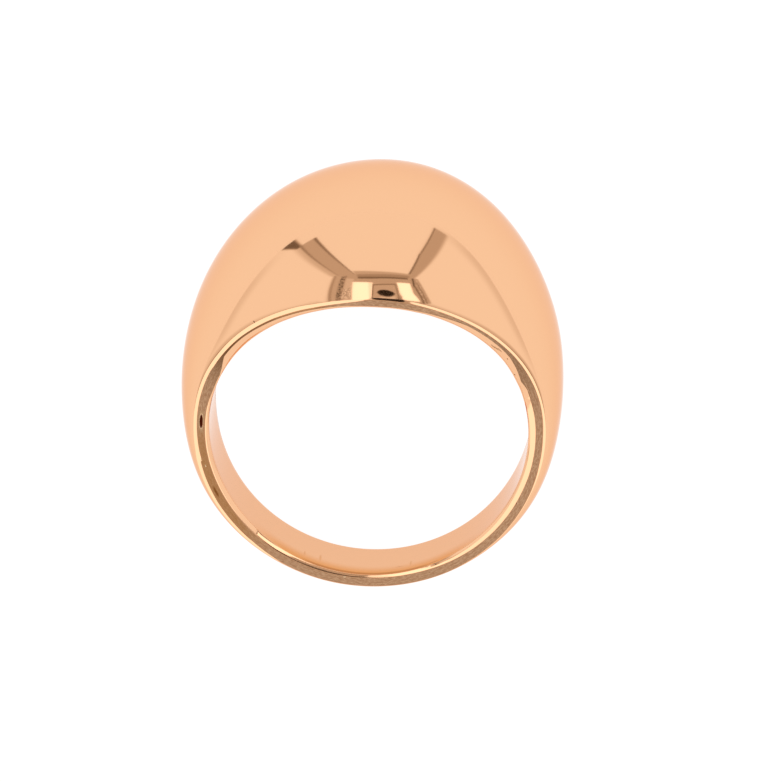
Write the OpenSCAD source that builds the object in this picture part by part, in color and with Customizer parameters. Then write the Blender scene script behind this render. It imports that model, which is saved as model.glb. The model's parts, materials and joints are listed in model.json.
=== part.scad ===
// A domed finger ring in polished rose gold, cast in one piece.
// The band is wide and high at the dome and tapers to a narrow shank at the back.
// The ring lies on its side, on the lowest points of its lower rim.
// Before it is tipped onto that rim, the finger hole runs along Z and the dome points along +Y.

/* [Finger hole] */
// Inside diameter of the ring
finger_d = 17; // [15:0.5:21]
// Width of the bevel between the finger hole and each flat rim
bevel = 0.12; // [0.08:0.02:0.2]

/* [Rims] */
// Thickness of the metal seen on the rim at the dome
rim_at_dome = 0.5; // [0.4:0.05:0.8]
// Thickness of the metal seen on the rim at the back of the shank
rim_at_back = 0.65; // [0.5:0.05:1]
// Extra thickness of the rim at the two sides
rim_side_extra = 0.26; // [0:0.02:0.4]
// Radius that rounds the outer edge of each rim
edge_r = 0.15; // [0.1:0.05:0.4]

/* [Dome and shank] */
// Width of the band at the middle of the dome
dome_w = 15; // [12:0.5:17]
// Width of the band at the back of the shank
shank_w = 4.1; // [3.5:0.1:5]
// How soon the width falls off beside the dome
width_taper = 2.6; // [2:0.1:3]
// Height of the dome's crest above the rim
dome_rise = 4.62; // [3:0.02:5.5]
// Height of the shank's crest above the rim
shank_rise = 0.25; // [0.2:0.05:0.8]
// How soon the height falls off beside the dome
rise_taper = 3.7; // [3:0.1:5]
// Extra height of the crest at the two sides
side_rise = 0.12; // [0:0.02:0.3]
// Share of a half ellipse that the arched outside keeps across its width
arch_share = 0.98; // [0.94:0.01:0.98]

/* [Hidden] */
rose_gold = [0.95, 0.73, 0.57];
finger_r = finger_d / 2;
// steps round the ring, across the arch and round each outer edge
ring_steps = 96;
arch_steps = 24;
edge_steps = 4;
step_angle = 360 / ring_steps;
// the ring's skin starts this far inside the finger hole, and the hole then cuts it back
spare = 0.5;
// angle at which the half ellipse of the arch is cut off, and its height there
arch_start = acos(arch_share);
arch_foot = sin(arch_start);

// Share of the way from the back of the shank to the dome, at an angle from the dome
function towards_dome(angle) = (1 + cos(angle)) / 2;

// Half of the band's width, thickness of its rim, and height of its arch, at an angle
function half_width(angle) =
    (shank_w + (dome_w - shank_w) * pow(towards_dome(angle), width_taper)) / 2;
function rim(angle) =
    rim_at_back + (rim_at_dome - rim_at_back) * towards_dome(angle)
    + rim_side_extra * pow(sin(angle), 2);
function rise(angle) =
    shank_rise + (dome_rise - shank_rise) * pow(towards_dome(angle), rise_taper)
    + side_rise * pow(sin(angle), 2);

// Angle by which the rim turns over its outer edge, from the flat rim to the foot of the arch
function edge_turn(angle) =
    atan(half_width(angle) * (1 - arch_foot) * arch_foot
         / (rise(angle) * pow(arch_share, 2)));
// Length that the rounded edge takes from the flat rim
function edge_take(angle) = edge_r * tan(edge_turn(angle) / 2);

// Points [distance from the axis, height along the axis] of one cross-section
function upper_rim(angle) = [
    [finger_r - spare, half_width(angle) - bevel - spare],
    [finger_r + bevel, half_width(angle)],
    for (i = [0 : edge_steps])
        let (turn = edge_turn(angle) * i / edge_steps)
        [finger_r + rim(angle) - edge_take(angle) + edge_r * sin(turn),
         half_width(angle) - edge_r + edge_r * cos(turn)]
];
function arch(angle) = [
    for (i = [1 : arch_steps - 1])
        let (turn = arch_start + (180 - 2 * arch_start) * i / arch_steps)
        [finger_r + rim(angle) + rise(angle) * (sin(turn) - arch_foot) / (1 - arch_foot),
         half_width(angle) * cos(turn) / arch_share]
];
function lower_rim(angle) =
    let (upper = upper_rim(angle))
    [for (i = [len(upper) - 1 : -1 : 0]) [upper[i][0], -upper[i][1]]];
function section(angle) = concat(upper_rim(angle), arch(angle), lower_rim(angle));

// The skin's points, one cross-section after another round the ring, dome first
section_size = len(section(0));
skin_points = [
    for (k = [0 : ring_steps - 1])
        let (angle = (k + 0.5) * step_angle)
        for (p = section(angle)) [p[0] * sin(angle), p[0] * cos(angle), p[1]]
];
function corner(k, i) = (k % ring_steps) * section_size + i % section_size;
skin_faces = [
    for (k = [0 : ring_steps - 1])
        for (i = [0 : section_size - 1])
            for (side = [0, 1])
                side == 0
                ? [corner(k, i), corner(k, i + 1), corner(k + 1, i)]
                : [corner(k + 1, i), corner(k, i + 1), corner(k + 1, i + 1)]
];

// The lower rim touches the table with its inner edge at the dome
// and with its rounded outer edge at the back of the shank.
first_angle = step_angle / 2;
last_angle = 180 - first_angle;
dome_touch = [(finger_r + bevel) * cos(first_angle), -half_width(first_angle)];
back_round = [
    (finger_r + rim(last_angle) - edge_take(last_angle)) * cos(last_angle),
    edge_r - half_width(last_angle)
];
reach = dome_touch - back_round;
rest_tilt = atan(-reach[1] / reach[0]) - asin(edge_r / norm(reach));

// Heights and lengths of the tipped skin, which stand it on z = 0 over the origin
tipped_y = [for (p = skin_points) p[1] * cos(rest_tilt) - p[2] * sin(rest_tilt)];
tipped_z = [for (p = skin_points) p[1] * sin(rest_tilt) + p[2] * cos(rest_tilt)];
seat = [0, -(max(tipped_y) + min(tipped_y)) / 2, -min(tipped_z)];

module ring_skin() {
    polyhedron(points = skin_points, faces = skin_faces, convexity = 6);
}

module finger_hole() {
    cylinder(h = 2 * dome_w, d = finger_d, center = true, $fn = 96);
}

module ring() {
    color(rose_gold)
        translate(seat)
        rotate([rest_tilt, 0, 0])
        difference() {
            ring_skin();
            finger_hole();
        }
}

ring();
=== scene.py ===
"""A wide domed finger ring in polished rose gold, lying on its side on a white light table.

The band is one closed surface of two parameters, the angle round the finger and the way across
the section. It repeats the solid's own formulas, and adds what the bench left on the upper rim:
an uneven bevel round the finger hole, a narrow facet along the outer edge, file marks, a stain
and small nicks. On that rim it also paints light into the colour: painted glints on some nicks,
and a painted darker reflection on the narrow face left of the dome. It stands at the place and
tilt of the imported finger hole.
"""

import json
import logging
import math
from dataclasses import dataclass, fields
from enum import Enum
from typing import Any

import bpy
import numpy as np
from mathutils import Matrix, Vector


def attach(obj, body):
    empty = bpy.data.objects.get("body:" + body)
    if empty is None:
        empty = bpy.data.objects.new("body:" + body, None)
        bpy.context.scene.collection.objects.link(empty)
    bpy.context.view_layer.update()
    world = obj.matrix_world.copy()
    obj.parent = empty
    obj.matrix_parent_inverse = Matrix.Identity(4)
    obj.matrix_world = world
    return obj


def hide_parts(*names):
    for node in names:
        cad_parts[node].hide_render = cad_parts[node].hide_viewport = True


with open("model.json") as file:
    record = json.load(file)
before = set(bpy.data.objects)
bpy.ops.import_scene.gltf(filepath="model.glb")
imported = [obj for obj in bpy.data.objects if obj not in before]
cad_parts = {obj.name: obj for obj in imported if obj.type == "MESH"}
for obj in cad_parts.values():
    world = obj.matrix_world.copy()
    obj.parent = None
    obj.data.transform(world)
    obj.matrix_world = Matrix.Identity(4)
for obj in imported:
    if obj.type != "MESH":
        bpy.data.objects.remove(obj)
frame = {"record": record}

LOG = logging.getLogger("domed_ring")
MM = 0.001
PICTURE_SIDE = 782
FULL_TURN = 2 * math.pi
# Limits that no masked value reaches
NO_LOWER_LIMIT = -99.0
NO_UPPER_LIMIT = 99.0

Socket = bpy.types.NodeSocket
Tree = bpy.types.NodeTree


def linear(hex_colour: str) -> tuple[float, float, float, float]:
    """Turns an sRGB hex colour into the linear values that a shader takes.

    Args:
        hex_colour: Six hex digits, such as "f3bf95".

    Returns:
        Linear red, green and blue with an alpha of 1.
    """
    parts = [int(hex_colour[i : i + 2], 16) / 255 for i in (0, 2, 4)]
    red, green, blue = (
        c / 12.92 if c <= 0.04045 else ((c + 0.055) / 1.055) ** 2.4 for c in parts
    )
    return (red, green, blue, 1.0)


def add_node(
    tree: Tree, kind: str, inputs: dict[str | int, Any] | None = None, **settings: Any
) -> Socket | None:
    """Adds a node with its settings, and fills or links its inputs.

    Args:
        tree: The tree that gets the node.
        kind: The node's type name without its ShaderNode prefix.
        inputs: Value or output socket for each input, by the input's name or index.
        settings: The node's own properties.

    Returns:
        The new node's first live output, or None where it has none.
    """
    node = tree.nodes.new("ShaderNode" + kind)
    for name, value in settings.items():
        setattr(node, name, value)
    for key, value in (inputs or {}).items():
        if isinstance(value, Socket):
            tree.links.new(value, node.inputs[key])
        else:
            node.inputs[key].default_value = value
    return next((out for out in node.outputs if out.enabled), None)


def product(tree: Tree, *values: Socket | float) -> Socket:
    """Multiplies values with one another.

    Args:
        tree: The tree that gets the nodes.
        values: Sockets and numbers, a socket first.

    Returns:
        The product.
    """
    result = values[0]
    for value in values[1:]:
        result = add_node(tree, "Math", {0: result, 1: value}, operation="MULTIPLY")
    return result


def between(tree: Tree, value: Socket, low: float, high: float, blur: float) -> Socket:
    """A mask that is 1 where a value lies between two limits, with soft ends.

    Args:
        tree: The tree that gets the nodes.
        value: The value.
        low: The lower limit.
        high: The upper limit.
        blur: Width over which the mask fades, half of it on each side of a limit.

    Returns:
        The mask.
    """
    masks = []
    for limit, start, end in ((low, 0.0, 1.0), (high, 1.0, 0.0)):
        span = {"From Min": limit - blur / 2, "From Max": limit + blur / 2}
        ends = {"Value": value, "To Min": start, "To Max": end}
        masks.append(add_node(tree, "MapRange", ends | span, interpolation_type="SMOOTHSTEP"))
    return product(tree, *masks)


def over(tree: Tree, below: Socket | Any, above: Socket | Any, mask: Socket) -> Socket:
    """Lays one number or colour over another where a mask is 1.

    Args:
        tree: The tree that gets the node.
        below: What shows where the mask is 0.
        above: What shows where the mask is 1, a tuple if it is a colour.
        mask: The mask.

    Returns:
        The mixed number or colour.
    """
    is_colour = isinstance(above, tuple)
    first = 6 if is_colour else 2
    inputs = {0: mask, first: below, first + 1: above}
    return add_node(tree, "Mix", inputs, data_type="RGBA" if is_colour else "FLOAT")


class Zone(Enum):
    """The parts of the band's skin that are finished in different ways."""

    POLISHED = 0
    RIM_FACE = 1
    FINGER_HOLE = 2


class MarkPlace(Enum):
    """What a mark's place counts: the distance from the finger's axis, or the depth."""

    RADIUS = 0
    DEPTH = 1


@dataclass(frozen=True)
class Mark:
    """A small mark of the bench or of wear, or a painted glint or painted darker reflection, as an oval
    patch.

    The place is the distance from the finger's axis on both rims alike, and the depth below
    the upper rim in the finger hole. Angles are in degrees from the dome's middle, the rest in
    millimetres. A lift below 0 is a dent. The blur is a share of the patch's half size.
    """

    angle: float
    place: float
    length: float
    width: float
    colour: str
    lift: float = 0.0
    blur: float = 0.4


@dataclass(frozen=True)
class Spot:
    """Sockets that say where a point of the band lies, in millimetres.

    Along is the way round the finger hole from the dome's middle, place is what a mark's place
    counts, and depth is the distance below the upper rim.
    """

    along: Socket
    place: Socket
    depth: Socket


@dataclass(frozen=True)
class Gold:
    """What the finishes share: 14 karat rose gold, an alloy of gold, copper and silver.

    Copper makes it warmer than yellow gold, and its mirror stays coloured to the very edge.
    """

    name: str
    colour: str
    roughness: float
    edge_tint: str = "f7e2d4"
    marks: tuple[Mark, ...] = ()
    mark_place: MarkPlace = MarkPlace.RADIUS

    def relief(self, tree: Tree, unrolled: Socket, spot: Spot) -> Socket | float:
        """Height of the surface's fine relief, in millimetres.

        Args:
            tree: The tree that gets the nodes.
            unrolled: The unrolled place in millimetres.
            spot: Where the point lies.

        Returns:
            The height.
        """
        return 0.0

    def tint(self, tree: Tree, unrolled: Socket, spot: Spot) -> Socket | tuple:
        """Colour of the metal before its marks.

        Args:
            tree: The tree that gets the nodes.
            unrolled: The unrolled place in millimetres.
            spot: Where the point lies.

        Returns:
            The colour.
        """
        return linear(self.colour)

    def material(self, finger_r: float) -> bpy.types.Material:
        """Builds the material.

        Args:
            finger_r: Radius of the finger hole, in millimetres.

        Returns:
            The material.
        """
        made = bpy.data.materials.new(self.name)
        made.use_nodes = True
        tree = made.node_tree
        shader = tree.nodes["Principled BSDF"]
        unrolled = add_node(tree, "UVMap", uv_map="unrolled")
        placed = add_node(tree, "UVMap", uv_map="radius_and_depth")
        along = add_node(tree, "SeparateXYZ", {0: unrolled})
        places = add_node(tree, "SeparateXYZ", {0: placed}).node.outputs
        spot = Spot(along=along, place=places[self.mark_place.value], depth=places[1])
        colour, height = self.tint(tree, unrolled, spot), self.relief(tree, unrolled, spot)
        here = add_node(tree, "CombineXYZ", {0: spot.along, 1: spot.place})
        for mark in self.marks:
            middle = (math.radians(mark.angle) * finger_r, mark.place)
            scale = (2 / mark.length, 2 / mark.width)
            shift = (-middle[0] * scale[0], -middle[1] * scale[1], 0)
            centred = {0: here, 1: (*scale, 0), 2: shift}
            way = add_node(tree, "VectorMath", centred, operation="MULTIPLY_ADD")
            size = add_node(tree, "VectorMath", {0: way}, operation="LENGTH")
            mask = between(tree, size, NO_LOWER_LIMIT, 1.0, mark.blur)
            colour = over(tree, colour, linear(mark.colour), mask)
            if mark.lift:
                raised = {0: mask, 1: mark.lift, 2: height}
                height = add_node(tree, "Math", raised, operation="MULTIPLY_ADD")
        if isinstance(colour, Socket):
            tree.links.new(colour, shader.inputs["Base Color"])
        else:
            shader.inputs["Base Color"].default_value = colour
        if isinstance(height, Socket):
            bump = add_node(tree, "Bump", {"Distance": MM, "Height": height})
            tree.links.new(bump, shader.inputs["Normal"])
        shader.inputs["Metallic"].default_value = 1.0
        shader.inputs["Roughness"].default_value = self.roughness
        shader.inputs["Specular Tint"].default_value = linear(self.edge_tint)
        return made

    def grain(
        self, tree: Tree, unrolled: Socket, along: float, across: float, height: float
    ) -> Socket:
        """Noise stretched to a grain of real size, in millimetres.

        Args:
            tree: The tree that gets the nodes.
            unrolled: The unrolled place in millimetres.
            along: Length of the grain round the finger.
            across: Width of the grain across the section.
            height: Height that the noise's 1 stands for.

        Returns:
            The grain's height.
        """
        size = {0: unrolled, 1: (1 / along, 1 / across, 1)}
        stretched = add_node(tree, "VectorMath", size, operation="MULTIPLY")
        noise = add_node(tree, "TexNoise", {"Vector": stretched, "Scale": 1.0, "Detail": 2.0})
        return product(tree, noise, height)


@dataclass(frozen=True)
class MirrorPolish(Gold):
    """The outside, buffed with rouge on a soft wheel.

    It mirrors what is round it. The wheel leaves faint lines round the finger, and the cast
    metal below stays very slightly uneven.
    """

    name: str = "polished_rose_gold"
    colour: str = "f3bf95"
    roughness: float = 0.06
    # Columns: angle, place, length, width, colour, lift, blur
    marks: tuple[Mark, ...] = (
        Mark(-41.5, 9.18, 0.05, 0.14, "6b4024", -0.004),
        Mark(47.6, 8.67, 0.34, 0.04, "8f6238", -0.004),
        Mark(49.0, 8.72, 0.34, 0.04, "8f6238", -0.004),
        Mark(50.3, 8.78, 0.34, 0.04, "8f6238", -0.004),
        Mark(55.0, 8.75, 0.1, 0.05, "8a5a38", -0.006),
        Mark(62.3, 8.55, 0.1, 0.05, "8a5a38", -0.006),
    )

    def relief(self, tree: Tree, unrolled: Socket, spot: Spot) -> Socket:
        """Faint wheel lines over a faint unevenness."""
        lines = self.grain(tree, unrolled, along=4.0, across=0.12, height=0.00008)
        uneven = self.grain(tree, unrolled, along=1.8, across=1.8, height=0.0006)
        return add_node(tree, "Math", {0: lines, 1: uneven}, operation="ADD")


@dataclass(frozen=True)
class FiledRim(Gold):
    """The flat rims, filed and then only lightly buffed.

    File grain scatters their mirror, most of all on the left of the shank. The narrow face on the
    left of the dome is painted brown, as a painted darker reflection. Pale marks on some nicks are
    painted glints.
    """

    name: str = "filed_rose_gold"
    colour: str = "f3caa6"
    roughness: float = 0.16
    cloud_colour: str = "cfa07a"
    cloud_share: float = 0.8
    rough_colour: str = "d79b58"
    rough_share: float = 0.6
    brown_stretch: tuple[float, float] = (-20.5, -13.6)
    rough_stretch: tuple[float, float] = (-21.5, -14.5)
    marks: tuple[Mark, ...] = (
        Mark(-88.7, 8.9, 1.25, 0.32, "e9c39a", 0.0, 0.6),
        Mark(-88.7, 8.9, 0.86, 0.17, "5c2410", -0.03),
        Mark(-116.5, 9.02, 0.6, 0.12, "a86f3c", -0.005, 0.9),
        # The three pale ffe9c4 marks are small nicks with painted glints: the bump is the nick, and the
        # pale colour is a painted highlight
        Mark(-106.2, 9.0, 0.12, 0.05, "ffe9c4", 0.012),
        Mark(-103.0, 9.14, 0.3, 0.06, "ffe9c4", 0.012, 0.8),
        Mark(-172.6, 8.72, 0.1, 0.06, "ffe9c4", 0.012),
        # Painted darker reflection: brown painted over the narrow face on the left of the dome
        Mark(-38.0, 8.8, 7.6, 1.4, "ac7d55", 0.0, 0.5),
        Mark(69.5, 8.82, 1.3, 0.035, "a8764c", -0.003, 0.9),
        Mark(117.0, 8.85, 0.12, 0.06, "8a5a38", -0.006),
    )

    def tint(self, tree: Tree, unrolled: Socket, spot: Spot) -> Socket:
        """Gold with cloudy polish, browner where the file has left it rough."""
        clouds = self.grain(tree, unrolled, along=0.22, across=0.08, height=1.0)
        contrast = {"From Min": 0.35, "From Max": 0.65, "To Max": self.cloud_share}
        clouds = add_node(tree, "MapRange", {"Value": clouds} | contrast)
        colour = over(tree, linear(self.colour), linear(self.cloud_colour), clouds)
        brown = between(tree, spot.along, *self.brown_stretch, 3.0)
        brown = product(tree, brown, self.rough_share)
        return over(tree, colour, linear(self.rough_colour), brown)

    def relief(self, tree: Tree, unrolled: Socket, spot: Spot) -> Socket:
        """File grain, with a rougher stretch on the left of the shank."""
        fine = self.grain(tree, unrolled, along=0.7, across=0.05, height=0.0003)
        rough = self.grain(tree, unrolled, along=0.22, across=0.09, height=0.0016)
        where = between(tree, spot.along, *self.rough_stretch, 4.0)
        inputs = {0: rough, 1: where, 2: fine}
        return add_node(tree, "Math", inputs, operation="MULTIPLY_ADD")


@dataclass(frozen=True)
class WornHole(Gold):
    """The wall of the finger hole, polished and then scuffed as the ring went on and off.

    Scuffs run along the finger, and the wall is coloured browner along the upper edge at the back.
    """

    name: str = "worn_rose_gold"
    colour: str = "eebb93"
    roughness: float = 0.1
    deep_colour: str = "e39d5c"
    deep_from: float = 21.0
    deep_below: float = 0.85
    brown_colour: str = "b5733e"
    brown_from: float = 23.4
    brown_below: float = 0.36
    brown_share: float = 0.75
    mark_place: MarkPlace = MarkPlace.DEPTH
    marks: tuple[Mark, ...] = (
        Mark(168.0, 1.0, 0.5, 0.08, "d99a66", -0.004, 0.8),
        Mark(-163.0, 1.3, 0.12, 0.9, "e2a878", -0.003, 0.8),
        Mark(-157.0, 1.1, 0.1, 0.7, "e2a878", -0.003, 0.8),
        Mark(164.0, 1.2, 0.1, 0.7, "e2a878", -0.003, 0.8),
        Mark(155.0, 0.3, 0.5, 0.1, "b87f4e", -0.004, 0.8),
    )

    def tint(self, tree: Tree, unrolled: Socket, spot: Spot) -> Socket:
        """Gold that deepens, and then browns, towards the upper edge at the back."""
        away = add_node(tree, "Math", {0: spot.along}, operation="ABSOLUTE")
        near_back = between(tree, away, self.deep_from, NO_UPPER_LIMIT, 3.0)
        near_edge = between(tree, spot.depth, NO_LOWER_LIMIT, self.deep_below, 1.2)
        deep = product(tree, near_back, near_edge)
        colour = over(tree, linear(self.colour), linear(self.deep_colour), deep)
        at_back = between(tree, away, self.brown_from, NO_UPPER_LIMIT, 1.0)
        at_edge = between(tree, spot.depth, NO_LOWER_LIMIT, self.brown_below, 0.14)
        brown = product(tree, at_back, at_edge, self.brown_share)
        return over(tree, colour, linear(self.brown_colour), brown)

    def relief(self, tree: Tree, unrolled: Socket, spot: Spot) -> Socket:
        """Scuffs along the finger over a faint unevenness."""
        scuffs = self.grain(tree, unrolled, along=0.16, across=2.5, height=0.0003)
        uneven = self.grain(tree, unrolled, along=1.5, across=1.5, height=0.0008)
        return add_node(tree, "Math", {0: scuffs, 1: uneven}, operation="ADD")


@dataclass(frozen=True)
class RimCut:
    """How the upper rim was cut at one angle, in millimetres and degrees.

    From the finger hole outwards there are a slope, a ledge, the flat face and a facet. The
    first three may lean towards the hole, and the facet leans away from it.
    """

    angle: float
    hole: float
    ledge_in: float
    face_in: float
    face_out: float
    facet_out: float
    slope_lean: float
    ledge_lean: float
    face_lean: float
    facet_lean: float


# Columns: angle; radii of hole, ledge_in, face_in, face_out and facet_out; leans of the slope,
# ledge, face and facet
UPPER_RIM = (
    RimCut(-180, 8.50, 8.59, 8.66, 9.11, 9.13, 25, 15.0, 0, 25),
    RimCut(-173, 8.50, 8.60, 8.67, 9.11, 9.13, 25, 15.2, 0, 25),
    RimCut(-165, 8.50, 8.61, 8.69, 9.12, 9.14, 24, 15.5, 0, 25),
    RimCut(-158, 8.50, 8.63, 8.70, 9.13, 9.15, 22, 16.0, 0, 25),
    RimCut(-150, 8.50, 8.66, 8.72, 9.15, 9.18, 21, 17.0, 0, 24),
    RimCut(-146, 8.50, 8.68, 8.74, 9.13, 9.22, 20.5, 17.0, 0, 22),
    RimCut(-138, 8.50, 8.70, 8.76, 9.13, 9.28, 20.5, 17.0, 0, 21),
    RimCut(-136, 8.50, 8.70, 8.76, 9.15, 9.29, 40, 15.0, 0, 20),
    RimCut(-120, 8.50, 8.69, 8.76, 9.21, 9.36, 40, 15.0, 0, 16),
    RimCut(-110, 8.50, 8.68, 8.75, 9.20, 9.37, 40, 15.0, 0, 15),
    RimCut(-104.5, 8.50, 8.67, 8.75, 9.18, 9.36, 40, 15.0, 0, 14),
    RimCut(-103, 8.50, 8.67, 8.74, 9.11, 9.36, 40, 15.0, 0, 14),
    RimCut(-100, 8.50, 8.66, 8.74, 9.12, 9.32, 40, 15.5, 0, 13),
    RimCut(-90, 8.49, 8.63, 8.70, 9.12, 9.29, 40, 17.0, 0, 12),
    RimCut(-85, 8.49, 8.61, 8.68, 9.12, 9.29, 40, 18.5, 0, 12),
    RimCut(-83, 8.48, 8.60, 8.67, 9.12, 9.28, 39, 19.2, 0, 12),
    RimCut(-80, 8.48, 8.58, 8.64, 9.12, 9.28, 38, 20.0, 0, 12),
    RimCut(-75, 8.47, 8.53, 8.58, 9.11, 9.27, 37, 22.0, 0, 12),
    RimCut(-68, 8.47, 8.50, 8.54, 9.09, 9.25, 38, 30.0, 3, 11),
    RimCut(-65, 8.45, 8.50, 8.62, 9.05, 9.23, 54, 32.0, 4, 11),
    RimCut(-60, 8.42, 8.52, 8.86, 9.03, 9.20, 50, 33.0, 6, 11),
    RimCut(-55, 8.42, 8.53, 8.86, 9.01, 9.19, 48, 33.0, 8, 11),
    RimCut(-50, 8.42, 8.55, 8.84, 8.99, 9.17, 48, 33.0, 10, 10),
    RimCut(-45, 8.42, 8.54, 8.80, 8.95, 9.15, 48, 33.0, 12, 10),
    RimCut(-40, 8.42, 8.53, 8.75, 8.91, 9.12, 50, 33.0, 14, 10),
    RimCut(-35, 8.42, 8.53, 8.72, 8.88, 9.08, 54, 33.0, 14, 10),
    RimCut(-30, 8.42, 8.52, 8.68, 8.83, 9.04, 54, 33.0, 14, 10),
    RimCut(-25, 8.42, 8.52, 8.65, 8.80, 9.00, 56, 34.0, 14, 10),
    RimCut(-20, 8.42, 8.51, 8.62, 8.76, 8.93, 58, 35.0, 13, 10),
    RimCut(-15, 8.43, 8.51, 8.60, 8.75, 8.90, 60, 35.0, 12, 10),
    RimCut(-10, 8.44, 8.51, 8.59, 8.76, 8.90, 60, 35.0, 9, 10),
    RimCut(-5, 8.45, 8.51, 8.57, 8.80, 8.92, 60, 35.0, 4, 10),
    RimCut(0, 8.46, 8.52, 8.56, 8.90, 9.00, 60, 35.0, 2, 10),
    RimCut(3.5, 8.46, 8.52, 8.57, 8.92, 9.04, 60, 35.0, 3, 14.2),
    RimCut(9.5, 8.47, 8.54, 8.59, 8.93, 9.06, 62, 35.0, 7, 15),
    RimCut(16.5, 8.48, 8.55, 8.62, 8.95, 9.06, 62, 34.5, 9, 10.5),
    RimCut(20, 8.49, 8.58, 8.64, 8.96, 9.07, 60, 33.0, 12, 10),
    RimCut(25, 8.49, 8.58, 8.68, 8.97, 9.09, 58, 33.0, 13, 10),
    RimCut(30, 8.49, 8.58, 8.75, 8.99, 9.11, 55, 32.0, 13, 10),
    RimCut(35, 8.49, 8.57, 8.83, 9.02, 9.14, 54, 32.0, 13, 10),
    RimCut(40, 8.49, 8.56, 8.85, 9.05, 9.17, 53, 32.0, 12, 10),
    RimCut(45, 8.48, 8.55, 8.87, 9.08, 9.20, 53, 32.0, 11, 10),
    RimCut(50, 8.47, 8.54, 8.90, 9.12, 9.23, 54, 32.0, 9, 11),
    RimCut(55, 8.46, 8.54, 8.91, 9.16, 9.26, 56, 31.0, 6, 11),
    RimCut(60, 8.44, 8.53, 8.82, 9.18, 9.28, 56, 30.0, 5, 12),
    RimCut(66, 8.42, 8.51, 8.68, 9.20, 9.31, 56, 28.0, 3, 12),
    RimCut(70, 8.41, 8.50, 8.80, 9.21, 9.31, 56, 26.0, 2, 12),
    RimCut(74, 8.40, 8.47, 8.78, 9.21, 9.31, 56, 23.0, 0, 12),
    RimCut(77, 8.40, 8.47, 8.78, 9.21, 9.31, 42, 21.5, 0, 12.5),
    RimCut(80, 8.39, 8.46, 8.79, 9.20, 9.31, 40, 20.0, 0, 13),
    RimCut(90, 8.39, 8.50, 8.78, 9.15, 9.29, 36, 15.0, 0, 15),
    RimCut(100, 8.41, 8.53, 8.79, 9.16, 9.29, 36, 13.0, 0, 17),
    RimCut(106, 8.43, 8.54, 8.80, 9.20, 9.28, 40, 12.5, 0, 18),
    RimCut(112, 8.45, 8.55, 8.80, 9.23, 9.27, 42, 12.5, 0, 20),
    RimCut(120, 8.47, 8.58, 8.82, 9.25, 9.28, 45, 12.5, 0, 20),
    RimCut(130, 8.49, 8.61, 8.82, 9.26, 9.29, 45, 12.5, 0, 20),
    RimCut(140, 8.50, 8.61, 8.80, 9.24, 9.27, 45, 12.5, 0, 20),
    RimCut(150, 8.50, 8.60, 8.75, 9.21, 9.24, 42, 12.5, 0, 20),
    RimCut(157, 8.50, 8.64, 8.70, 9.18, 9.21, 21, 13.5, 0, 22),
    RimCut(165, 8.50, 8.63, 8.66, 9.15, 9.17, 20, 15.0, 0, 25),
    RimCut(173, 8.50, 8.59, 8.65, 9.12, 9.14, 21, 15.0, 0, 25),
    RimCut(180, 8.50, 8.59, 8.66, 9.11, 9.13, 25, 15.0, 0, 25),
)


@dataclass(frozen=True)
class Swell:
    """A gentle rise or hollow of the crest line, in degrees and millimetres."""

    angle: float
    reach: float
    height: float


CREST_SWELLS = (
    Swell(22, 36, 0.17),
    Swell(58, 25, 0.065),
    Swell(120, 34, 0.14),
    Swell(-117, 34, 0.10),
    Swell(-22, 40, -0.085),
)


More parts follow.
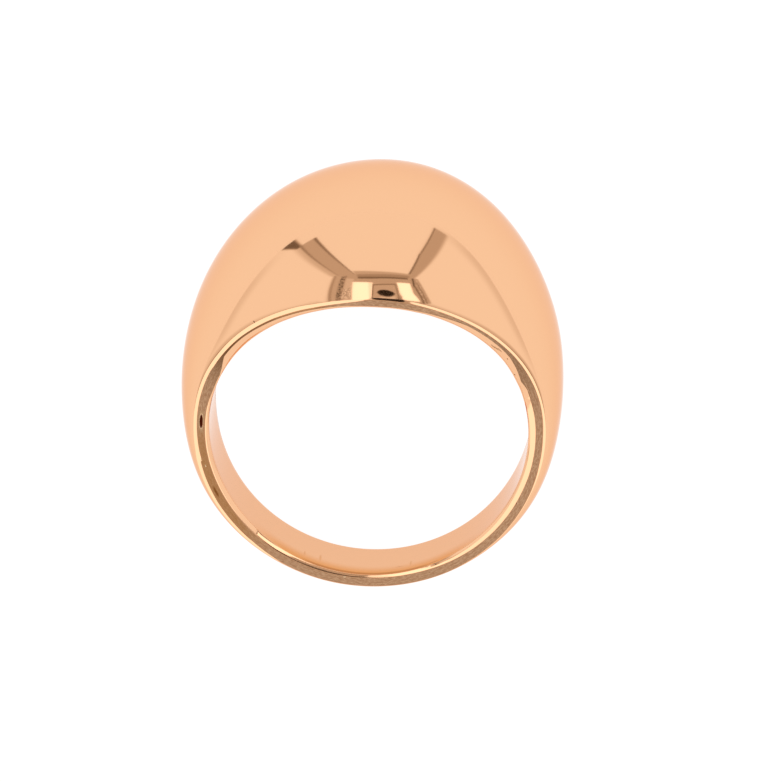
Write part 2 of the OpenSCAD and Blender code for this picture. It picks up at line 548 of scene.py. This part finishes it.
@dataclass
class DomedBand:
    """The ring's one piece of metal, in millimetres and angles from the dome's middle.

    The fields from bevel to arch_share are the solid's own sizes. The lower end of the finger
    hole lies lower_end_up and lower_end_right off the axis.
    """

    finger_r: float
    centre: Vector
    finger_axis: Vector
    bevel: float = 0.12
    rim_at_dome: float = 0.5
    rim_at_back: float = 0.65
    rim_side_extra: float = 0.26
    edge_r: float = 0.15
    dome_w: float = 15.0
    shank_w: float = 4.1
    width_taper: float = 2.6
    dome_rise: float = 4.62
    shank_rise: float = 0.25
    rise_taper: float = 3.7
    side_rise: float = 0.12
    arch_share: float = 0.98
    soft_edge: float = 0.02
    soft_share: float = 0.45
    edge_fade: float = 0.03
    even_reach: float = 9.0
    even_steps: int = 19
    lower_end_up: float = -0.035
    lower_end_right: float = 0.055
    turn_steps: int = 720
    arch_steps: int = 78
    corner_steps: int = 3

    def towards_dome(self, angle: np.ndarray) -> np.ndarray:
        """Share of the way from the back of the shank to the dome: (1 + cos angle) / 2."""
        return (1 + np.cos(angle)) / 2

    def half_width(self, angle: np.ndarray) -> np.ndarray:
        """Half of the band's width: it grows with the share of the way to the power width_taper."""
        spread = (self.dome_w - self.shank_w) * self.towards_dome(angle) ** self.width_taper
        return (self.shank_w + spread) / 2

    def rim(self, angle: np.ndarray) -> np.ndarray:
        """Thickness at the rim: a straight change from back to dome, more at the two sides."""
        change = (self.rim_at_dome - self.rim_at_back) * self.towards_dome(angle)
        return self.rim_at_back + change + self.rim_side_extra * np.sin(angle) ** 2

    def rise(self, angle: np.ndarray) -> np.ndarray:
        """Height of the arch: it grows with the share of the way to the power rise_taper.

        The two sides get side_rise more, times the square of the sine. Each swell adds a
        squared cosine that falls to nothing at its reach.

        Args:
            angle: Angles round the finger.

        Returns:
            The height at each angle.
        """
        spread = (self.dome_rise - self.shank_rise) * self.towards_dome(angle) ** self.rise_taper
        rise = self.shank_rise + spread + self.side_rise * np.sin(angle) ** 2
        for swell in CREST_SWELLS:
            away = (np.degrees(angle) - swell.angle + 180) % 360 - 180
            share = np.clip(np.abs(away) / swell.reach, 0, 1)
            rise = rise + swell.height * np.cos(share * math.pi / 2) ** 2
        return rise

    def foot(self) -> float:
        """Height of the half ellipse where the arch cuts it off, as a share of its own height."""
        return math.sqrt(1 - self.arch_share**2)

    def upper_corners(self, angle: np.ndarray) -> list[np.ndarray]:
        """Sharp corners of the upper rim's section, from the hole's wall to the arch.

        Every radius and lean is read from the table of cuts, with straight lines between its
        rows. Each stretch drops by its width times the tangent of its lean.

        Args:
            angle: Angles round the finger.

        Returns:
            For each corner, its distance from the axis and its height along it at each angle.
        """
        marks = np.radians([cut.angle for cut in UPPER_RIM])
        names = [field.name for field in fields(RimCut)][1:]
        rows = np.array([[getattr(cut, name) for cut in UPPER_RIM] for name in names])
        values = [np.interp(angle, marks, row) for row in rows]
        outs, leans = values[:5], values[5:]
        drops = [np.diff(pair, axis=0)[0] * np.tan(np.radians(lean))
                 for pair, lean in zip(zip(outs[:4], outs[1:]), leans)]
        depths = [sum(drops[:3]), drops[1] + drops[2], drops[2], 0 * angle, drops[3]]
        half = self.half_width(angle)
        return [np.stack([out, half - depth], axis=-1) for out, depth in zip(outs, depths)]

    def lower_corners(self, angle: np.ndarray) -> list[np.ndarray]:
        """Sharp corners of the lower rim's section, from the hole's wall to the arch.

        The facet is the chord of the solid's rounded edge, which turns from the flat rim to
        the slope of the arch's foot.

        Args:
            angle: Angles round the finger.

        Returns:
            For each corner, its distance from the axis and its height along it at each angle.
        """
        half, foot = self.half_width(angle), self.foot()
        turn = np.arctan(half * (1 - foot) * foot / (self.rise(angle) * self.arch_share**2))
        start = self.finger_r + self.rim(angle) - self.edge_r * np.tan(turn / 2)
        aside = self.lower_end_up * np.cos(angle) + self.lower_end_right * np.sin(angle)
        outs = [self.finger_r + aside, self.finger_r + self.bevel + 0 * angle, start]
        drops = [self.bevel + 0 * angle, 0 * angle, 0 * angle]
        outs.append(start + self.edge_r * np.sin(turn))
        drops.append(self.edge_r * (1 - np.cos(turn)))
        return [np.stack([out, drop - half], axis=-1) for out, drop in zip(outs, drops)]

    def evened(self, angle: np.ndarray) -> np.ndarray:
        """The upper rim's last corner, averaged over even_reach degrees on each side.

        The weights are 1 plus the cosine of an angle that runs from minus to plus half a turn.

        Args:
            angle: Angles round the finger.

        Returns:
            Points of shape (angles, 2).
        """
        shifts = np.radians(np.linspace(-self.even_reach, self.even_reach, self.even_steps))
        weights = 1 + np.cos(np.linspace(-math.pi, math.pi, self.even_steps))
        near = (angle[:, None] + shifts + math.pi) % FULL_TURN - math.pi
        last = self.upper_corners(near.ravel())[-1].reshape(*near.shape, 2)
        last[..., 1] += self.half_width(angle)[:, None] - self.half_width(near)
        return np.average(last, axis=1, weights=weights)

    def arch(self, angle: np.ndarray, start: np.ndarray, end: np.ndarray) -> np.ndarray:
        """The arched outside: a half ellipse cut off at arch_share of its half width.

        Its ends slide from the upper rim's last corner to the lower rim's last corner. Within
        edge_fade of its width it leaves the rim's uneven corner for the evened one.

        Args:
            angle: Angles round the finger.
            start: The upper rim's last corner at each angle.
            end: The lower rim's last corner at each angle.

        Returns:
            Points between both ends, of shape (angles, points, 2).
        """
        first = math.acos(self.arch_share)
        turn = np.linspace(first, math.pi - first, self.arch_steps + 1)[None, 1:-1]
        height = (np.sin(turn) - self.foot()) / (1 - self.foot())
        share = (1 + np.cos(turn) / self.arch_share) / 2
        uneven = np.clip(1 - (1 - share) / self.edge_fade, 0, 1)[..., None] ** 2
        even = self.evened(angle)[:, None]
        top = even + (start[:, None] - even) * uneven
        base = top[..., 0] * share + end[:, :1] * (1 - share)
        crest = (self.finger_r + self.rim(angle) + self.rise(angle))[:, None]
        out = base + (crest - base) * height
        along = top[..., 1] * share + end[:, 1:] * (1 - share)
        return np.stack([out, along], axis=-1)

    def rounded(self, before: np.ndarray, corner: np.ndarray, after: np.ndarray) -> np.ndarray:
        """Rounds one corner of every section with a curve of second degree.

        The curve starts and ends soft_edge away from the corner, or soft_share of a
        shorter stretch, and the corner pulls it.

        Args:
            before: The point before the corner, for each section.
            corner: The corner, for each section.
            after: The point after the corner, for each section.

        Returns:
            Points of shape (sections, corner_steps + 1, 2).
        """
        ends = []
        for other in (before, after):
            way = other - corner
            length = np.linalg.norm(way, axis=-1, keepdims=True)
            away = np.minimum(self.soft_edge, self.soft_share * length)
            ends.append(corner + way / length * away)
        t = np.linspace(0, 1, self.corner_steps + 1)[None, :, None]
        start, pull, end = (p[:, None, :] for p in (ends[0], corner, ends[1]))
        return (1 - t) ** 2 * start + 2 * t * (1 - t) * pull + t**2 * end

    def section(self, angle: np.ndarray) -> tuple[np.ndarray, np.ndarray]:
        """The closed cross-section at every angle, and the zone of each of its spans.

        It runs from the top of the hole's wall over the upper rim, along the arch, over the
        lower rim and up the wall. Straight stretches lie between rounded corners.

        Args:
            angle: Angles round the finger, one for each section.

        Returns:
            Points of shape (sections, points, 2), and the zone number of each span.
        """
        upper, lower = self.upper_corners(angle), self.lower_corners(angle)[::-1]
        arch = self.arch(angle, upper[-1], lower[0])
        corners = [*upper, *lower]
        last_upper = len(upper) - 1
        before = [corners[i - 1] for i in range(len(corners))]
        after = [corners[(i + 1) % len(corners)] for i in range(len(corners))]
        after[last_upper], before[last_upper + 1] = arch[:, 0], arch[:, -1]
        curves = [self.rounded(*three) for three in zip(before, corners, after)]
        polished, face, hole = (zone.value for zone in Zone)
        # Spans of the straight stretch after each corner, and its zone
        stretches = [(2, polished), (2, polished), (4, face), (2, polished), (0, polished)]
        stretches += [(1, polished), (4, face), (2, polished), (10, hole)]
        parts, zones = [], []
        for i, (spans, zone) in enumerate(stretches):
            parts.append(curves[i])
            zones += [polished] * self.corner_steps
            if i == last_upper:
                parts.append(arch)
                zones += [polished] * self.arch_steps
                continue
            start, end = curves[i][:, -1:], curves[(i + 1) % len(curves)][:, :1]
            share = np.linspace(0, 1, spans + 1)[None, 1:-1, None]
            parts.append(start + (end - start) * share)
            zones += [zone] * spans
        return np.concatenate(parts, axis=1), np.array(zones)

    def build(self) -> bpy.types.Object:
        """Builds the band as one closed mesh, in place.

        A point lies at its section's distance from the finger's axis, turned by the angle, and
        at its height along the axis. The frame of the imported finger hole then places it.

        Returns:
            The mesh object.
        """
        angle = -math.pi + np.arange(self.turn_steps) * FULL_TURN / self.turn_steps
        section, zones = self.section(angle)
        out, along = section[..., 0], section[..., 1]
        turned = [out * np.sin(angle)[:, None], out * np.cos(angle)[:, None], along]
        across = Vector((1, 0, 0))
        towards = self.finger_axis.cross(across)
        basis = np.array([across, towards, self.finger_axis])
        points = np.stack(turned, axis=-1) * MM @ basis + np.array(self.centre)
        rows, columns = out.shape
        row, column = np.meshgrid(np.arange(rows), np.arange(columns), indexing="ij")
        next_row, next_column = (row + 1) % rows, (column + 1) % columns
        corners = [(row, column), (row, next_column), (next_row, next_column), (next_row, column)]
        quads = np.stack([r * columns + c for r, c in corners], axis=-1).reshape(-1, 4)
        mesh = bpy.data.meshes.new("domed_band")
        mesh.from_pydata(points.reshape(-1, 3).tolist(), [], quads.tolist())
        mesh.polygons.foreach_set("use_smooth", np.ones(len(quads), bool))
        mesh.polygons.foreach_set("material_index", np.tile(zones, rows).astype(np.int32))
        self.unroll(mesh, angle, section)
        mesh.update()
        band = bpy.data.objects.new("domed_band", mesh)
        bpy.context.scene.collection.objects.link(band)
        return band

    def unroll(self, mesh: bpy.types.Mesh, angle: np.ndarray, section: np.ndarray) -> None:
        """Gives the mesh two UV maps in millimetres.

        The first holds the way round the finger hole and the way across the section. The
        second holds the distance from the finger's axis and the depth below the upper rim.

        Args:
            mesh: The band's mesh.
            angle: Angle of each section.
            section: Points of each section.
        """
        closed = np.concatenate([section, section[:, :1]], axis=1)
        spans = np.linalg.norm(np.diff(closed, axis=1), axis=-1)
        way = np.concatenate([0 * spans[:, :1], np.cumsum(spans, axis=1)], axis=1)
        turns = np.append(angle, angle[0] + FULL_TURN)[:, None] * self.finger_r + 0 * way[:1]
        depth = self.half_width(angle)[:, None] - closed[..., 1]
        places = {"unrolled": (turns, way), "radius_and_depth": (closed[..., 0], depth)}
        rows, columns = spans.shape
        row, column = np.meshgrid(np.arange(rows), np.arange(columns), indexing="ij")
        corners = [(row, column), (row, column + 1), (row + 1, column + 1), (row + 1, column)]
        for name, pair in places.items():
            full = [p if len(p) > rows else np.concatenate([p, p[:1]]) for p in pair]
            spots = [np.stack([p[r, c] for p in full], axis=-1) for r, c in corners]
            layer = mesh.uv_layers.new(name=name)
            layer.data.foreach_set("uv", np.stack(spots, axis=2).astype(np.float32).ravel())

    def dress(self, band: bpy.types.Object) -> None:
        """Gives the band its three finishes, in the order of the zones."""
        for finish in (MirrorPolish(), FiledRim(), WornHole()):
            band.data.materials.append(finish.material(self.finger_r))


@dataclass(frozen=True)
class LightTable:
    """A white acrylic light table, lit from below so that shadows on it stay faint."""

    radius: float = 3.0
    glow: float = 0.95
    colour: str = "ffffff"
    albedo: float = 0.12

    def build(self) -> bpy.types.Object:
        """Builds the table as a large flat disc just under the ring.

        Returns:
            The mesh object.
        """
        sides = 96
        turn = np.arange(sides) * FULL_TURN / sides
        rim = np.stack([np.cos(turn), np.sin(turn), 0 * turn], axis=-1) * self.radius
        mesh = bpy.data.meshes.new("light_table")
        mesh.from_pydata(rim.tolist(), [], [list(range(sides))])
        table = bpy.data.objects.new("light_table", mesh)
        bpy.context.scene.collection.objects.link(table)
        made = bpy.data.materials.new("white_acrylic")
        made.use_nodes = True
        shader = made.node_tree.nodes["Principled BSDF"]
        shader.inputs["Base Color"].default_value = (self.albedo,) * 3 + (1,)
        shader.inputs["Roughness"].default_value = 0.9
        shader.inputs["Specular IOR Level"].default_value = 0.0
        shader.inputs["Emission Color"].default_value = linear(self.colour)
        shader.inputs["Emission Strength"].default_value = self.glow
        mesh.materials.append(made)
        return table


Corner = tuple[float, float]


@dataclass(frozen=True)
class Patch:
    """A part of the light tent with straight edges.

    Its corners run anticlockwise, and each is a slope: the way to the right and the way up the
    picture, for one unit of height above the ring. Low and high limit it by the sine of the
    height above the horizon.
    """

    name: str
    corners: tuple[Corner, ...]
    light: float
    blur: float = 0.02
    low: float = NO_LOWER_LIMIT
    high: float = NO_UPPER_LIMIT
    fade: float = 0.02
    speckle: float = 0.0


def far(angle: float, reach: float = 90.0) -> Corner:
    """The slope of a point near the horizon.

    Args:
        angle: Direction in degrees from the right.
        reach: Length of the slope.

    Returns:
        The way to the right and the way up the picture, for one unit of height.
    """
    return (reach * math.cos(math.radians(angle)), reach * math.sin(math.radians(angle)))


@dataclass(frozen=True)
class LightTent:
    """The white tent round the ring, which the polished metal mirrors.

    Its front wall, where the camera looks in, has two bright panels. Its corner posts, the
    lamps' frames and the gap below that wall are darker than its white cloth.
    """

    white: float = 1.06
    near: float = 0.5
    lens_middle: Corner = (0.142, 0.003)
    lens_half_size: Corner = (0.105, 0.066)
    lens_lean: float = 0.3
    lens_light: float = 0.03
    shade: str = "ffe2c2"
    lowest: float = 0.008
    speckles_per_slope: float = 55.0
    speckle_range: tuple[float, float] = (0.42, 0.6)
    patches: tuple[Patch, ...] = (
        Patch("left cloth's foot", ((-0.5, 0.0), far(150), far(205)),
              0.9, blur=0.3, high=0.12, fade=0.16),
        Patch("right cloth's foot", ((0.6, 0.0), far(-20), far(52)),
              0.88, blur=0.3, high=0.12, fade=0.16),
        Patch("left frame", ((-0.72, -0.24), far(-149), far(-138), (-0.52, -0.24)), 0.8, blur=0.07),
        Patch("left frame edge", ((-0.6, -0.24), far(-142.5), far(-137.5), (-0.51, -0.24)), 0.4),
        Patch("right frame", ((0.5, -0.24), far(-42), far(-33), (0.68, -0.24)), 0.75, blur=0.05),
        Patch("right frame edge", ((0.49, -0.24), far(-42.5), far(-38), (0.57, -0.24)), 0.4),
        Patch("left lamp", ((-0.1, -0.24), (-0.52, -0.24), far(-138), far(-107)), 1.5),
        Patch("right lamp", ((0.39, -0.24), far(-77), far(-42), (0.5, -0.24)), 1.5),
        Patch("gap below", ((-0.11, -0.2), far(-107), far(-75), (0.4, -0.2)), 0.56),
        Patch("gap's foot", ((-0.11, -0.2), far(-107), far(-75), (0.4, -0.2)),
              0.36, high=0.2, fade=0.12),
        Patch("left post shade", ((-0.62, 0.43), (-0.47, 0.4), far(133.3), far(135.4)),
              0.76, blur=0.04),
        Patch("left post end", (far(133, 4.9), far(133), far(140.5), far(136, 5.2)), 0.2),
        Patch("left post", ((-0.46, 0.35), (-0.26, 0.35), far(125.1), far(133.3)), 0.62, low=0.178),
        Patch("left post ridge", ((-0.53, 0.45), (-0.48, 0.4), far(131.9), far(133.5)),
              0.38, blur=0.01, low=0.17),
        Patch("left post seam", ((-0.31, 0.42), (-0.27, 0.38), far(124.7), far(126.3)),
              0.28, blur=0.01, low=0.18),
        Patch("right post", ((0.395, 0.36), (0.49, 0.36), far(54.8), far(62.6), (0.755, 1.256)),
              0.6, blur=0.03, low=0.05, fade=0.04),
        Patch("right post seam", ((0.37, 0.36), (0.405, 0.37), (0.778, 1.25), (0.745, 1.26)),
              0.26, blur=0.008),
        Patch("right post top seam", ((0.745, 1.24), (0.778, 1.24), far(62), far(62.8)),
              0.3, blur=0.008, low=0.05),
        Patch("valance", ((-0.28, 0.34), (0.42, 0.34), (0.455, 0.47), (-0.35, 0.53)), 0.66, blur=0.035),
        Patch("valance hem", ((-0.27, 0.34), (0.42, 0.34), (0.43, 0.43), (-0.29, 0.44)),
              0.46, blur=0.04),
        Patch("front wall", ((-0.5, -0.25), (0.66, -0.25), (0.45, 0.36), (-0.46, 0.36)), 0.62),
        Patch("hem line", ((-0.26, 0.335), (0.4, 0.33), (0.4, 0.365), (-0.27, 0.378)),
              0.24, blur=0.012),
        Patch("wall's left", ((-0.4, -0.2), (-0.26, -0.2), (-0.31, 0.33), (-0.4, 0.35)), 0.78),
        Patch("left side strip", ((-0.6, -0.24), (-0.45, -0.24), (-0.45, 0.43), (-0.58, 0.43)),
              0.66, blur=0.04),
        Patch("left side line", ((-0.585, -0.24), (-0.545, -0.24), (-0.535, 0.43), (-0.565, 0.43)),
              0.48),
        Patch("left zip", ((-0.482, -0.24), (-0.425, -0.24), (-0.408, 0.41), (-0.466, 0.41)),
              0.04, blur=0.01, speckle=0.66),
        Patch("left grain", ((-0.42, -0.12), (-0.29, -0.12), (-0.32, 0.12), (-0.4, 0.12)),
              0.36, speckle=0.75),
        Patch("right side strip", ((0.5, -0.24), (0.72, -0.24), (0.545, 0.37), (0.42, 0.37)), 0.6),
        Patch("right grain", ((0.62, -0.24), (0.68, -0.24), (0.53, 0.33), (0.49, 0.33)),
              0.4, blur=0.012, speckle=0.6),
        Patch("right zip top", ((0.465, 0.16), (0.49, 0.16), (0.482, 0.37), (0.455, 0.37)),
              0.14, blur=0.008),
        Patch("right zip", ((0.605, -0.24), (0.635, -0.24), (0.495, 0.19), (0.468, 0.19)),
              0.26, blur=0.008),
        Patch("right zip edge", ((0.65, -0.24), (0.675, -0.24), (0.525, 0.28), (0.505, 0.28)),
              0.36, blur=0.008),
        Patch("left panel", ((-0.265, -0.3), (-0.02, -0.3), (-0.055, 0.25), (-0.31, 0.25)), 1.4),
        Patch("left panel's lamp", ((-0.265, -0.3), (-0.1, -0.3), (-0.12, 0.25), (-0.305, 0.25)),
              1.75, blur=0.03),
        Patch("right panel foot", ((0.33, -0.13), (0.555, -0.19), (0.457, 0.015), (0.3, 0.015)),
              1.75, blur=0.015),
        Patch("right panel", ((0.315, -0.07), (0.468, -0.06), (0.422, 0.24), (0.262, 0.24)),
              1.75, blur=0.015),
        Patch("camera edge", ((-0.02, -0.12), (0.31, -0.12), (0.255, 0.212), (-0.052, 0.208)),
              0.34, blur=0.01),
        Patch("camera body", ((0.002, -0.12), (0.292, -0.12), (0.238, 0.185), (-0.028, 0.183)),
              0.66, blur=0.01),
        Patch("lens glint", ((0.06, -0.12), (0.27, -0.12), (0.25, -0.065), (0.09, -0.065)),
              0.85, blur=0.012),
        Patch("camera base", ((-0.1, -0.25), (0.36, -0.25), (0.345, -0.125), (-0.03, -0.115)),
              0.03, blur=0.01),
    )

    def build(self) -> None:
        """Sets the tent as the scene's world."""
        world = bpy.data.worlds.new("light_tent")
        bpy.context.scene.world = world
        world.use_nodes = True
        # The tent is almost even, so the rays that the metal sends out find all its light
        world.cycles.sampling_method = "NONE"
        tree = world.node_tree
        tree.nodes.clear()
        way = add_node(tree, "TexCoord")
        shares = add_node(tree, "SeparateXYZ", {0: way}).node.outputs
        up = add_node(tree, "Math", {0: shares[2], 1: self.lowest}, operation="MAXIMUM")
        slopes = [
            add_node(tree, "Math", {0: shares[i], 1: up}, operation="DIVIDE") for i in (0, 1)
        ]
        flat = add_node(tree, "CombineXYZ", {0: slopes[0], 1: slopes[1]})
        spread = add_node(tree, "VectorMath", {0: flat}, operation="LENGTH")
        reach = add_node(tree, "Math", {0: spread, 1: self.near}, operation="MAXIMUM")
        whole = add_node(tree, "CombineXYZ", {0: slopes[0], 1: slopes[1], 2: 1.0})
        share = add_node(tree, "Math", {0: 1.0, 1: reach}, operation="DIVIDE")
        place = add_node(tree, "VectorMath", {0: whole, "Scale": share}, operation="SCALE")
        grain = {"Vector": flat, "Scale": self.speckles_per_slope, "Detail": 1.0}
        noise = add_node(tree, "TexNoise", grain)
        dimmest, brightest = self.speckle_range
        light: Socket | float = self.white
        for patch in self.patches:
            mask = self.mask(tree, patch, place, shares[2])
            glow: Socket | float = patch.light
            if patch.speckle:
                inputs = {"Value": noise, "From Min": dimmest, "From Max": brightest}
                ends = {"To Min": patch.light, "To Max": patch.light + patch.speckle}
                glow = add_node(tree, "MapRange", inputs | ends)
            light = over(tree, light, glow, mask)
        light = over(tree, light, self.lens_light, self.round_lens(tree, slopes))
        full = add_node(tree, "Math", {0: light, 1: self.white}, operation="DIVIDE")
        warmth = over(tree, linear(self.shade), linear("ffffff"), full)
        sky = add_node(tree, "Background", {"Color": warmth, "Strength": light})
        add_node(tree, "OutputWorld", {"Surface": sky})

    def mask(self, tree: Tree, patch: Patch, place: Socket, height: Socket) -> Socket:
        """A mask that is 1 inside a patch.

        Each edge gives the distance to its inner side, as a product of the place with the
        edge's own numbers. The smallest of these distances makes the mask.

        Args:
            tree: The tree that gets the nodes.
            patch: The patch.
            place: The slopes and 1, made smaller far from the middle.
            height: Sine of the height above the horizon.

        Returns:
            The mask.
        """
        nearest = None
        for i, (x, y) in enumerate(patch.corners):
            next_x, next_y = patch.corners[(i + 1) % len(patch.corners)]
            length = math.hypot(next_x - x, next_y - y)
            across, along = (y - next_y) / length, (next_x - x) / length
            line = (across, along, -across * x - along * y)
            inside = add_node(tree, "VectorMath", {0: place, 1: line}, operation="DOT_PRODUCT")
            if nearest is not None:
                inside = add_node(tree, "Math", {0: nearest, 1: inside}, operation="MINIMUM")
            nearest = inside
        limits = {"Value": nearest, "From Min": -patch.blur, "From Max": patch.blur}
        settings = {"interpolation_type": "SMOOTHSTEP", "label": patch.name}
        mask = add_node(tree, "MapRange", limits, **settings)
        if patch.low > NO_LOWER_LIMIT or patch.high < NO_UPPER_LIMIT:
            mask = product(tree, mask, between(tree, height, patch.low, patch.high, patch.fade))
        return mask

    def round_lens(self, tree: Tree, slopes: list[Socket]) -> Socket:
        """A mask for the dark oval of the camera's lens.

        Args:
            tree: The tree that gets the nodes.
            slopes: The slopes to the right and up the picture.

        Returns:
            The mask.
        """
        squares = []
        leaning = {0: slopes[0], 1: self.lens_lean, 2: -self.lens_lean * self.lens_middle[0]}
        lean = add_node(tree, "Math", leaning, operation="MULTIPLY_ADD")
        level = add_node(tree, "Math", {0: slopes[1], 1: lean}, operation="ADD")
        sizes = zip((slopes[0], level), self.lens_middle, self.lens_half_size)
        for slope, middle, half in sizes:
            inputs = {0: slope, 1: 1 / half, 2: -middle / half}
            away = add_node(tree, "Math", inputs, operation="MULTIPLY_ADD")
            squares.append(add_node(tree, "Math", {0: away, 1: 2.0}, operation="POWER"))
        away = add_node(tree, "Math", {0: squares[0], 1: squares[1]}, operation="ADD")
        return between(tree, away, NO_LOWER_LIMIT, 1.0, 0.4)


@dataclass(frozen=True)
class PackshotCamera:
    """The camera, looking at the front rim from a little above the finger's axis."""

    elevation: float = 20.0
    sideways: float = 1.712
    roll: float = -1.66
    distance: float = 400.0
    pixels_per_mm: float = 18.815
    centre_px: tuple[float, float] = (371.588, 412.112)
    sensor: float = 36.0
    nearest: float = 10.0

    def build(self, centre: Vector, finger_axis: Vector) -> bpy.types.Object:
        """Makes the camera the scene's own.

        Args:
            centre: The ring's centre.
            finger_axis: Direction of the finger's axis, towards the camera.

        Returns:
            The camera object.
        """
        across = Vector((1, 0, 0))
        towards = finger_axis.cross(across)
        up, side, roll = (math.radians(a) for a in (self.elevation, self.sideways, self.roll))
        outward = finger_axis * math.cos(side) + across * math.sin(side)
        back = outward * math.cos(up) + towards * math.sin(up)
        level = across * math.cos(side) - finger_axis * math.sin(side)
        raised = towards * math.cos(up) - outward * math.sin(up)
        right = level * math.cos(roll) - raised * math.sin(roll)
        upward = level * math.sin(roll) + raised * math.cos(roll)
        off_x = (PICTURE_SIDE / 2 - self.centre_px[0]) / self.pixels_per_mm * MM
        off_y = (self.centre_px[1] - PICTURE_SIDE / 2) / self.pixels_per_mm * MM
        spot = centre + back * self.distance * MM
        aim = centre + right * off_x + upward * off_y
        view = (spot - aim).normalized()
        flat = upward.cross(view).normalized()
        turned = Matrix((flat, view.cross(flat), view)).transposed()
        data = bpy.data.cameras.new("packshot_camera")
        data.sensor_width = self.sensor
        data.lens = self.pixels_per_mm * self.distance / PICTURE_SIDE * self.sensor
        data.clip_start = self.nearest * MM
        camera = bpy.data.objects.new("packshot_camera", data)
        camera.matrix_world = Matrix.Translation(spot) @ turned.to_4x4()
        bpy.context.scene.collection.objects.link(camera)
        bpy.context.scene.camera = camera
        return camera


def main() -> None:
    """Builds the ring, its table, its tent and the camera."""
    logging.basicConfig(level=logging.INFO, format="%(name)s: %(message)s")
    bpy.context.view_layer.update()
    hole = next(m for m in frame["record"]["mounts"] if m["name"] == "finger_hole")
    centre, axis = Vector(hole["pos_m"]), Vector(hole["axis"]).normalized()
    ring = DomedBand(finger_r=hole["dims"]["r_mm"], centre=centre, finger_axis=axis)
    band = ring.build()
    ring.dress(band)
    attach(band, "root")
    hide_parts("ring")
    LOG.info("domed_band: %d faces", len(band.data.polygons))
    table = LightTable().build()
    LOG.info("%s: %d face", table.name, len(table.data.polygons))
    LightTent().build()
    PackshotCamera().build(centre, axis)
    bpy.context.scene.view_settings.view_transform = "Standard"
    bpy.context.view_layer.update()


if __name__ == "__main__":
    main()
